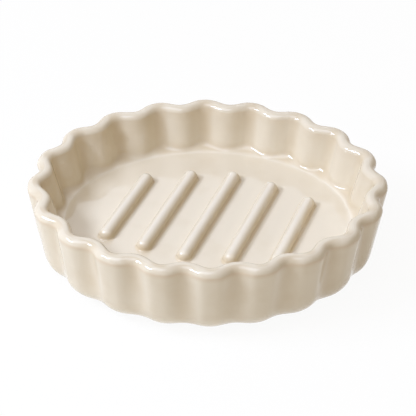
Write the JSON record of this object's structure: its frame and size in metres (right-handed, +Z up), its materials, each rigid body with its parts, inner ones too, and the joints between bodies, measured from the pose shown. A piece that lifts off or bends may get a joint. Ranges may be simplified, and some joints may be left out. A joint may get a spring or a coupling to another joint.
{
  "type": "soap saver",
  "caption": "Oval glazed soap dish with a fluted wall and slanted raised ribs that lift the bar out of the water, on stick-on non-slip pads.",
  "frame": {"origin": "on the surface that the dish stands on, under the middle of the oval", "axes": "+X along the oval's long axis to the right, +Y away from the viewer, +Z up out of the dish's mouth"},
  "size_m": [0.1298, 0.1108, 0.0333],
  "materials": {
    "cream_glaze": "glossy cream glaze over stoneware",
    "pad_silicone": "soft translucent silicone"
  },
  "bodies": {
    "root": {"dish": "cream_glaze", "pad_back_right": "pad_silicone", "pad_back_left": "pad_silicone", "pad_front_left": "pad_silicone", "pad_front_right": "pad_silicone"}
  },
  "joints": []
}
